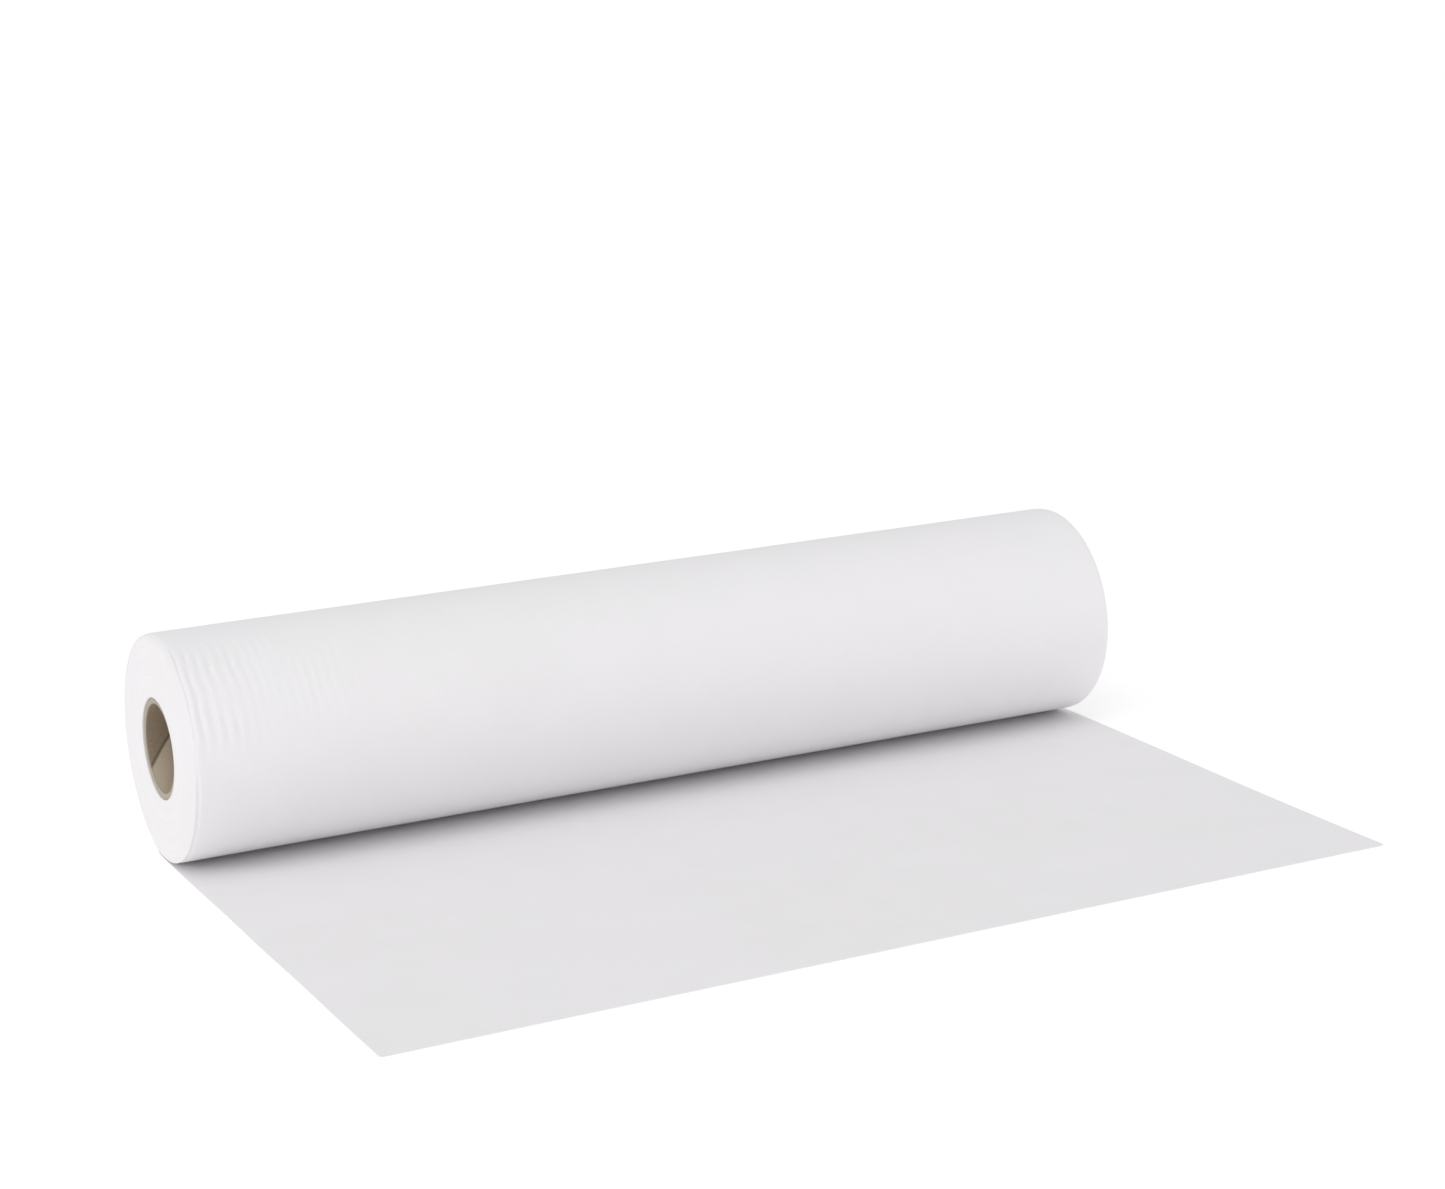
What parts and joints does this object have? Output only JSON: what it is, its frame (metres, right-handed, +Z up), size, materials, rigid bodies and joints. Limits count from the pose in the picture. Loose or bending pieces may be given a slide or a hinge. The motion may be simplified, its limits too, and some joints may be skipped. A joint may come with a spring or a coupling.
{
  "type": "backdrop paper roll",
  "caption": "Short roll of white paper wound on an open cardboard core, with its free end laid out flat in front; the roll rolls over the sheet and winds it up.",
  "frame": {"origin": "middle of the core's bore, on the roll's axis", "axes": "+X along the roll's axis, +Z up; the free end lies flat towards -Y"},
  "size_m": [0.5, 0.3349, 0.1102],
  "materials": {
    "white_paper": "matt white paper, faint cool tone",
    "core_liner": "brown kraft board, matt",
    "core_board": "grey-brown core board, matt",
    "tape": "double-sided tissue tape, slightly yellow"
  },
  "bodies": {
    "sheet": {"laid_sheet": "white_paper"},
    "lead": {"lead_strip": "white_paper"},
    "roll": {"core_inner_liner": "core_liner", "core_body_ply_1": "core_board", "core_body_ply_2": "core_board", "core_body_ply_3": "core_board", "core_body_ply_4": "core_board", "core_outer_ply": "core_board", "starter_tab_left": "tape", "starter_tab_middle": "tape", "starter_tab_right": "tape", "wound_paper": "white_paper"}
  },
  "joints": [
    {"name": "roll_forward", "type": "slide", "parent": "sheet", "child": "lead", "axis": [0, -1, 0], "range_m": [0, 0.25], "deforming": ["laid_sheet"]},
    {"name": "roll_turn", "type": "hinge", "parent": "lead", "child": "roll", "pos_m": [0, 0, 0], "axis": [1, 0, 0], "range_deg": [0, 262]}
  ],
  "couplings": [
    {"joint": "roll_turn", "follows": "roll_forward", "rad_per_m": 18.182}
  ]
}
